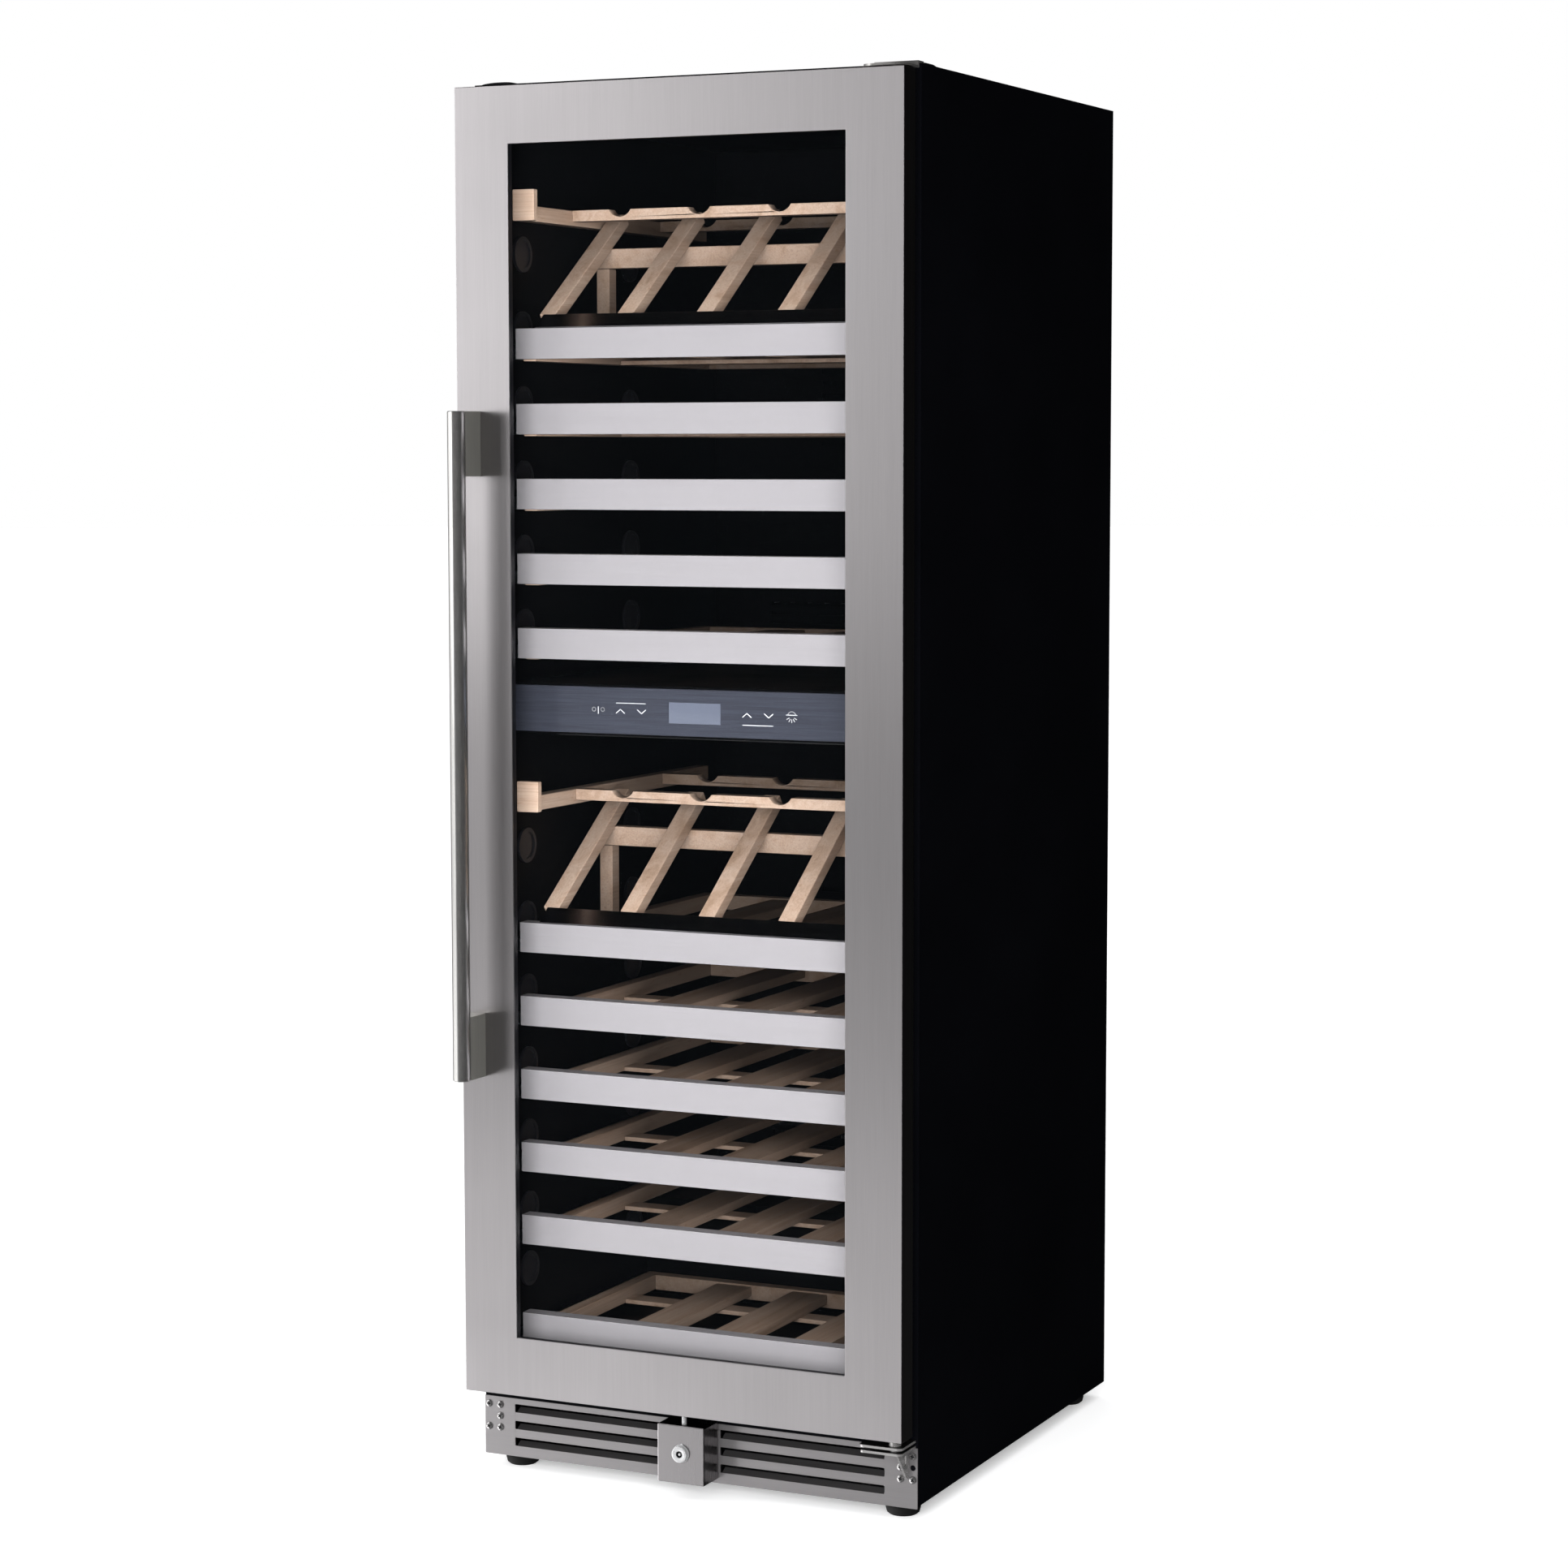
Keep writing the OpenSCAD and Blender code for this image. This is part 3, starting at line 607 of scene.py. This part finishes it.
def mesh_from(name, bm, smooth_angle=35):
    """Turns a bmesh into a mesh whose edges over smooth_angle degrees stay sharp."""
    bmesh.ops.recalc_face_normals(bm, faces=bm.faces[:])
    mesh = bpy.data.meshes.new(name)
    bm.to_mesh(mesh)
    bm.free()
    mesh.polygons.foreach_set("use_smooth", [True] * len(mesh.polygons))
    mesh.set_sharp_from_angle(angle=math.radians(smooth_angle))
    return mesh


def round_edges(bm, edges, offset):
    """Rounds edges of a bmesh with two segments."""
    bmesh.ops.bevel(bm, geom=edges, offset=offset, segments=2, profile=0.5, affect="EDGES")


def add_box(bm, low, high, bevel):
    """Adds a box between two corners, with its edges rounded by bevel."""
    low, high = Vector(low), Vector(high)
    made = bmesh.ops.create_cube(bm, size=1.0)["verts"]
    for v in made:
        v.co = Vector((low[i] + (v.co[i] + 0.5) * (high[i] - low[i]) for i in range(3)))
    round_edges(bm, list({e for v in made for e in v.link_edges}), bevel)


def add_wall(bm, near, far):
    """Joins two closed loops of vertices with faces. A loop of one vertex is a tip."""
    steps = max(len(near), len(far))
    made = []
    for i in range(steps):
        j = (i + 1) % steps
        corners = (near[i % len(near)], near[j % len(near)], far[j % len(far)], far[i % len(far)])
        made.append(bm.faces.new(list(dict.fromkeys(corners))))
    return made


def add_prism(bm, front, rear):
    """Adds a closed solid between two outlines that have the same number of points."""
    loops = [[bm.verts.new(p) for p in outline] for outline in (front, rear)]
    bm.faces.new(loops[0])
    bm.faces.new(loops[1][::-1])
    add_wall(bm, *loops)


def full_turn(steps):
    """The angles of steps equal parts of a turn."""
    return [2 * math.pi * i / steps for i in range(steps)]


def polar(radius, angle, height):
    """The point at a radius and an angle round the z axis."""
    return Vector((radius * math.cos(angle), radius * math.sin(angle), height))


def add_lathe(bm, outline, centre, axis, steps=48):
    """Turns an outline of (radius, distance along axis) points about a line through centre."""
    place = Matrix.Translation(centre) @ FACING[axis]
    rings = []
    for radius, out in outline:
        angles = full_turn(steps) if radius else [0.0]
        rings.append([bm.verts.new(place @ polar(radius, a, out)) for a in angles])
    for near, far in zip(rings, rings[1:]):
        add_wall(bm, near, far)


def add_stroke(bm, points, width, y, lift):
    """Adds a flat printed line through (x, z) points, standing lift proud of the plane y."""
    for (x0, z0), (x1, z1) in zip(points, points[1:]):
        run = Vector((x1 - x0, 0, z1 - z0))
        side = Vector((-run.z, 0, run.x)).normalized() * width / 2
        cap = run.normalized() * width / 2
        a, b = Vector((x0, y, z0)) - cap, Vector((x1, y, z1)) + cap
        low = [a - side, b - side, b + side, a + side]
        add_prism(bm, [p - Vector((0, lift, 0)) for p in low], low)


def arc(centre, radius, start, end, steps):
    """Points of a plane along an arc, with its angles in degrees."""
    angles = [math.radians(start + (end - start) * i / steps) for i in range(steps + 1)]
    return [(centre[0] + radius * math.cos(a), centre[1] + radius * math.sin(a)) for a in angles]


# ---------------------------------------------------------------- control strip


def chevron(x, z, up):
    """Touch arrow: two strokes that meet at a point."""
    reach, rise = 5.6 * MM, 4.6 * MM * (1 if up else -1)
    return [(x - reach, z - rise / 2), (x, z + rise / 2), (x + reach, z - rise / 2)]


def make_icons():
    """The plain signs printed on the strip: two rings and a bar, two pairs of arrows, and a lamp."""
    low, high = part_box("control_panel")
    mid = (low.z + high.z) / 2
    bold, thin = 0.9 * MM, 0.7 * MM
    bm = bmesh.new()

    def stroke(points, width=bold):
        """A printed line on the strip's face."""
        add_stroke(bm, points, width, low.y, 0.12 * MM)

    bar_x, bar_half = -131.5 * MM, 4 * MM
    ring_gap, ring_radius, ring_z = 6 * MM, 2.4 * MM, mid + 1.0 * MM
    for x in (bar_x - ring_gap, bar_x + ring_gap):
        stroke(arc((x, ring_z), ring_radius, 0, 360, 16))
    stroke([(bar_x, mid - bar_half), (bar_x, mid + bar_half)])

    arrow_gap, arrow_z, line_half = 14.5 * MM, mid - 0.5 * MM, 20 * MM
    for x, line_z in ((-86.5 * MM, mid + 9.5 * MM), (85 * MM, mid - 12.5 * MM)):
        stroke(chevron(x - arrow_gap, arrow_z, up=True))
        stroke(chevron(x + arrow_gap, arrow_z, up=False))
        stroke([(x - line_half, line_z), (x + line_half, line_z)], thin)

    lamp_x, lamp_radius, shade_z, shade_half = 130 * MM, 5.5 * MM, mid + 1.5 * MM, 7 * MM
    stroke(arc((lamp_x, mid), lamp_radius, 20, 160, 12))
    stroke([(lamp_x - shade_half, shade_z), (lamp_x + shade_half, shade_z)])
    ray_ends = [arc((lamp_x, mid), radius, -150, -30, 4) for radius in (4 * MM, 7.5 * MM)]
    for ray in zip(*ray_ends):
        stroke(ray, thin)
    piece("control_icons", mesh_from("control_icons", bm), "cabinet", "display", ICON_PAINT)


# ---------------------------------------------------------------- screws


def add_pan_screw(bm, centre, radius, height, axis, twist):
    """Pan-head screw with a domed head and a cross recess, whose faces have material index 1 for painted
    shade.
    """
    rings = 7
    curvature = 0.82
    arm_reach, arm_half = radius * 0.52, radius * 0.16
    floor_z, floor_taper, floor_dip = height - height * 0.75, 0.72, 0.1 * height
    place = Matrix.Translation(centre) @ FACING[axis] @ Matrix.Rotation(twist, 4, "Z")
    angles = full_turn(64)

    def cross_radius(a):
        """Edge of the recess in direction a: the longer reach of its two arms."""
        c, s = max(abs(math.cos(a)), 1e-6), max(abs(math.sin(a)), 1e-6)
        return max(min(arm_reach / c, arm_half / s), min(arm_reach / s, arm_half / c))

    def dome(r):
        """Height of the head at radius r."""
        return height * math.sqrt(1 - curvature * (r / radius) ** 2)

    loops = [[polar(radius, a, z) for a in angles] for z in (0.0, dome(radius))]
    for k in range(1, rings + 1):
        t = k / rings
        reaches = [radius * (1 - t) + cross_radius(a) * t for a in angles]
        loops.append([polar(r, a, dome(r)) for r, a in zip(reaches, angles)])
    loops.append([polar(cross_radius(a) * floor_taper, a, floor_z) for a in angles])
    loops.append([Vector((0, 0, floor_z - floor_dip))])
    rows = [[bm.verts.new(place @ p) for p in loop] for loop in loops]
    walls = [add_wall(bm, near, far) for near, far in zip(rows, rows[1:])]
    # The recess faces take the black material as painted shade.
    for face in walls[-2] + walls[-1]:
        face.material_index = 1


def screws_piece(name, bm):
    """Links screws as one piece of the cabinet, with painted shade in their recesses."""
    # Black plastic paints shade into the screw recesses.
    materials = MATERIALS["bright_screws"], MATERIALS["black_plastic"]
    return piece(name, mesh_from(name, bm, 50), "cabinet", "bright_screws", *materials)


def make_grille_screws():
    """The nine visible screws at the ends of the kick plate, each turned its own way."""
    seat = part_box("kick_grille")[0].y
    outer, inner = 291 * MM, 275 * MM
    bottom, middle, top = 53 * MM, 67.5 * MM, 82 * MM
    places = [(-outer, bottom), (-outer, top), (-inner, bottom), (-inner, middle), (-inner, top)]
    places += [(inner, bottom), (outer, bottom), (inner, middle), (outer, top)]
    radius, height = 4.7 * MM, 2.6 * MM
    bm = bmesh.new()
    for i, (x, z) in enumerate(places):
        add_pan_screw(bm, Vector((x, seat, z)), radius, height, "-y", 0.5 + i * 1.1)
    made = screws_piece("pan_screws", bm)
    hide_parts("grille_screws")


def make_rear_screws():
    """Screws within the rear panel's sheet: six down each side, two more at the top and at the bottom.

    Their heads end just below the panel's outer face, so the panel hides them.
    """
    low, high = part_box("back_panel")
    inset, per_side = 9 * MM, 6
    radius, height, sunk = 4 * MM, 1.2 * MM, 0.1 * MM
    seat = high.y - height - sunk
    bm = bmesh.new()
    for x in (low.x + inset, high.x - inset):
        for i in range(per_side):
            z = low.z + inset + i * (high.z - low.z - 2 * inset) / (per_side - 1)
            add_pan_screw(bm, Vector((x, seat, z)), radius, height, "y", 0.4 + i)
    for x in (low.x / 3, high.x / 3):
        for z in (low.z + inset, high.z - inset):
            add_pan_screw(bm, Vector((x, seat, z)), radius, height, "y", 1.0)
    screws_piece("rear_screws", bm)


# ---------------------------------------------------------------- lock

LOCK_LOW, LOCK_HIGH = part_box("lock_cylinder")
LOCK_CENTRE = Vector(((LOCK_LOW.x + LOCK_HIGH.x) / 2, LOCK_LOW.y, (LOCK_LOW.z + LOCK_HIGH.z) / 2))
LOCK_RADIUS = (LOCK_HIGH.x - LOCK_LOW.x) / 2
LOCK_STEPS = 64
WELL_RADIUS = 4.1 * MM
WELL_DEPTH = 5 * MM


def make_lock_barrel():
    """Key cylinder: a bright disc with a groove round its face, and a pin in its round well."""
    r, well, length = LOCK_RADIUS, WELL_RADIUS, LOCK_HIGH.y - LOCK_LOW.y
    bm = bmesh.new()
    disc = [
        (well, WELL_DEPTH), (well, 0.5 * MM), (well + 0.4 * MM, 0.1 * MM), (r - 2.6 * MM, 0.0),
        (r - 2.3 * MM, 0.3 * MM), (r - 1.9 * MM, 0.3 * MM), (r - 1.6 * MM, 0.0), (r - 0.6 * MM, 0.1 * MM),
        (r, 0.8 * MM), (r, length), (well, length),
    ]
    add_lathe(bm, disc, LOCK_CENTRE, "y", LOCK_STEPS)
    pin = [(0, 0.9 * MM), (1.3 * MM, 0.9 * MM), (1.7 * MM, 1.3 * MM), (1.7 * MM, WELL_DEPTH)]
    add_lathe(bm, pin, LOCK_CENTRE, "y", LOCK_STEPS // 2)
    mesh = mesh_from("lock_barrel", bm, 30)
    made = piece("lock_barrel", mesh, "lock", "lock_chrome", MATERIALS["lock_chrome"])
    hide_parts("lock_cylinder")


def make_lock_well_shade():
    """Black lining of the key well: painted shade in the hole."""
    radius, floor = WELL_RADIUS - 0.1 * MM, WELL_DEPTH - 0.1 * MM
    bm = bmesh.new()
    add_lathe(bm, [(0, floor), (radius, floor), (radius, 0.9 * MM)], LOCK_CENTRE, "y", LOCK_STEPS)
    piece("lock_well", mesh_from("lock_well", bm, 30), "lock", "lock_chrome", MATERIALS["black_plastic"])


def make_lock_rim():
    """Ring on the lock box round the key cylinder, with a pointed index at the top."""
    r = LOCK_RADIUS
    middle = Vector((LOCK_CENTRE.x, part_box("lock_box")[0].y, LOCK_CENTRE.z))
    bm = bmesh.new()
    rim = [
        (r + 0.1 * MM, 0.0), (r + 0.1 * MM, 0.5 * MM), (r + 0.4 * MM, 0.8 * MM), (r + 0.9 * MM, 0.7 * MM),
        (r + 1.1 * MM, 0.0),
    ]
    add_lathe(bm, rim, middle, "-y", LOCK_STEPS)
    half, foot, point, proud = 2.6 * MM, r + 0.6 * MM, r + 3.0 * MM, 0.7 * MM
    turn = Matrix.Rotation(math.radians(8), 3, "Y")
    index = [middle + turn @ Vector((x, -proud, z)) for x, z in ((half, foot), (-half, foot), (0.0, point))]
    add_prism(bm, index, [p + Vector((0, proud, 0)) for p in index])
    piece("lock_rim", mesh_from("lock_rim", bm, 30), "cabinet", "lock_chrome", MATERIALS["lock_chrome"])


# ---------------------------------------------------------------- caps, upper hinge and door seal


def make_cap(node, name, rise):
    """Black cap: a low dome that fills a CAD node's box. The share rise of its height lies at its edge."""
    across, deep = 24, 16
    flatness, edge_slope = 3.2, 6
    low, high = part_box(node)
    size = high - low
    bm = bmesh.new()
    rows = []
    for i in range(across + 1):
        u = i / across
        row = []
        for j in range(deep + 1):
            v = j / deep
            swell = (1 - abs(2 * u - 1) ** flatness) * (1 - abs(2 * v - 1) ** flatness)
            height = size.z * (rise * min(1.0, edge_slope * swell) + (1 - rise) * swell)
            row.append(bm.verts.new((low.x + u * size.x, low.y + v * size.y, low.z + height)))
        rows.append(row)
    for near, far in zip(rows, rows[1:]):
        for j in range(deep):
            bm.faces.new((near[j], far[j], far[j + 1], near[j + 1]))
    rim = [row[0] for row in rows] + rows[-1][1:] + [row[-1] for row in rows[-2::-1]] + rows[0][-2:0:-1]
    bm.faces.new(rim[::-1])
    made = piece(name, mesh_from(name, bm, 50), "cabinet", "black_plastic", MATERIALS["black_plastic"])
    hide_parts(node)


def make_upper_hinge():
    """Upper hinge: a rounded plate that steps down over the door, with its spacer and pin."""
    low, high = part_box("upper_hinge")
    door_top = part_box("door_frame")[1].z
    thick, corner = 2.6 * MM, 16 * MM
    under = door_top + 1.6 * MM
    step = low.y + 43 * MM
    left = arc((low.x + corner, low.y + corner), corner, 180, 270, 10)
    right = arc((high.x - corner, low.y + corner), corner, 270, 360, 10)
    outline = [(high.x, step), *right[::-1], *left[::-1], (low.x, step)]
    bm = bmesh.new()
    bottom, top = ([(x, y, z) for x, y in outline] for z in (under, under + thick))
    add_prism(bm, bottom, top)
    round_edges(bm, bm.edges[:], 0.6 * MM)
    add_box(bm, (low.x, step - 0.3 * MM, under), (high.x, step + thick, high.z), 0.5 * MM)
    add_box(bm, (low.x, step, high.z - thick), (high.x, high.y, high.z), 0.5 * MM)

    pin_centre = Vector((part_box("lower_hinge")[1].x - 14 * MM, low.y + 17 * MM, 0))
    pin_radius, spacer_radius = 4 * MM, 7 * MM
    foot = door_top + 0.3 * MM
    add_lathe(bm, [(0, foot), (spacer_radius, foot), (spacer_radius, under), (0, under)], pin_centre, "z")
    add_lathe(bm, [(0, low.z), (pin_radius, low.z + 0.5 * MM), (pin_radius, under)], pin_centre, "z", 32)
    mesh = mesh_from("hinge_bracket", bm, 40)
    made = piece("hinge_bracket", mesh, "cabinet", "hinge_steel", MATERIALS["hinge_steel"])
    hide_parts("upper_hinge")


def make_gasket():
    """Door seal: a bellows profile carried round the door, with mitred corners."""
    low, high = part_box("door_gasket")
    width = 18 * MM
    depth = high.y - low.y
    profile = [
        (0.00, 0.00), (0.05, 0.30), (0.16, 0.42), (0.06, 0.55), (0.02, 0.72), (0.10, 0.93), (0.26, 1.00),
        (0.74, 1.00), (0.90, 0.93), (0.98, 0.72), (0.94, 0.55), (0.84, 0.42), (0.95, 0.30), (1.00, 0.00),
    ]
    corners = [(low.x, low.z, 1, 1), (high.x, low.z, -1, 1), (high.x, high.z, -1, -1), (low.x, high.z, 1, -1)]
    bm = bmesh.new()
    rings = []
    for x, z, inward_x, inward_z in corners:
        ring = [(x + inward_x * u * width, low.y + v * depth, z + inward_z * u * width) for u, v in profile]
        rings.append([bm.verts.new(p) for p in ring])
    for near, far in zip(rings, rings[1:] + rings[:1]):
        add_wall(bm, near, far)
    mesh = mesh_from("door_seal", bm, 60)
    made = piece("door_seal", mesh, "door", "gasket_rubber", MATERIALS["gasket_rubber"])
    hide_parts("door_gasket")


# ---------------------------------------------------------------- power inlet and machine bay


def make_inlet_pins():
    """The three pins of the power inlet."""
    low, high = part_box("power_inlet")
    mid = (low + high) / 2
    half_x, half_z = 0.9 * MM, 2 * MM
    root, tip = high.y - 16 * MM, high.y - 2 * MM
    bm = bmesh.new()
    for dx, dz in ((-5 * MM, -2 * MM), (0, 2.5 * MM), (5 * MM, -2 * MM)):
        x, z = mid.x + dx, mid.z + dz
        add_box(bm, (x - half_x, root, z - half_z), (x + half_x, tip, z + half_z), 0.3 * MM)
    piece("inlet_pins", mesh_from("inlet_pins", bm), "cabinet", "rail_steel", BRASS)


def tube_mesh(name, points, radius):
    """A bent tube through points, as a mesh."""
    curve = bpy.data.curves.new(name, "CURVE")
    curve.dimensions = "3D"
    curve.bevel_depth = radius
    curve.bevel_resolution = 4
    curve.use_fill_caps = True
    spline = curve.splines.new("NURBS")
    spline.points.add(len(points) - 1)
    for target, place in zip(spline.points, points):
        target.co = (*place, 1)
    spline.use_endpoint_u = True
    spline.order_u = 4
    spline.resolution_u = 8
    holder = bpy.data.objects.new(name + "_curve", curve)
    COLLECTION.objects.link(holder)
    bpy.context.view_layer.update()
    mesh = bpy.data.meshes.new_from_object(holder.evaluated_get(bpy.context.evaluated_depsgraph_get()))
    bpy.data.objects.remove(holder)
    mesh.polygons.foreach_set("use_smooth", [True] * len(mesh.polygons))
    return mesh


def make_pipes():
    """Copper pipes between the compressor and the condenser, seen through the rear vents."""
    comp_low, comp_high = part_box("compressor")
    cond_low, cond_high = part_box("condenser")
    end = Vector((cond_high.x, cond_low.y, cond_high.z))
    for i, lift in enumerate((0.0, 14 * MM)):
        start = Vector((comp_low.x + 6 * MM, (comp_low.y + comp_high.y) / 2 + lift, comp_high.z - 70 * MM))
        rise = Vector((0, 0, lift))
        points = [
            start + MM * Vector((12, 0, 0)),
            start,
            start + MM * Vector((-22, 0, 0)),
            start + MM * Vector((-30, 0, 40)) + rise,
            start + MM * Vector((-60, -10, 60)) + rise,
            end + MM * Vector((10, 60, 12)) + rise,
            end + MM * Vector((-30, 30, 6)) + rise,
            end + MM * Vector((-40, 28, -20)),
        ]
        name = f"bay_pipe_{i + 1}"
        piece(name, tube_mesh(name, points, 3 * MM), "cabinet", "fin_aluminium", COPPER)


# ---------------------------------------------------------------- floor


def make_floor():
    """A plain pale floor, wide enough for every view."""
    bm = bmesh.new()
    bmesh.ops.create_circle(bm, cap_ends=True, segments=64, radius=60)
    mesh = mesh_from("floor", bm)
    floor = bpy.data.objects.new("floor", mesh)
    COLLECTION.objects.link(floor)
    m = Material("floor_white", (0.92, 0.92, 0.925), rough=0.9, Emission_Color=(1, 1, 1, 1),
                 Emission_Strength=0.32, Specular_IOR_Level=0.05)
    cloud = m.noise(even(0.7), detail=2)
    m.colour(m.ramp(cloud, (0.3, (0.91, 0.91, 0.915)), (0.7, (0.93, 0.93, 0.935))))
    mesh.materials.append(m.data)
    floor.visible_glossy = False


# ---------------------------------------------------------------- build

make_camera()
make_world()
sun_light("top_sun", **TOP_SUN)
area_light("front_box", **FRONT_BOX, glossy=False)
area_light("left_card", **LEFT_CARD)
make_floor()

dress_nodes()
for node, width in EDGE_WIDTHS.items():
    soften(node, width)

make_icons()
make_grille_screws()
make_lock_barrel()
make_lock_well_shade()
make_lock_rim()
make_cap("hinge_cover", "hinge_cap", 0.55)
make_cap("hinge_hole_cover", "spare_cap", 0.25)
make_upper_hinge()
make_gasket()
make_rear_screws()
make_inlet_pins()
make_pipes()

SCENE.view_settings.view_transform = "Standard"
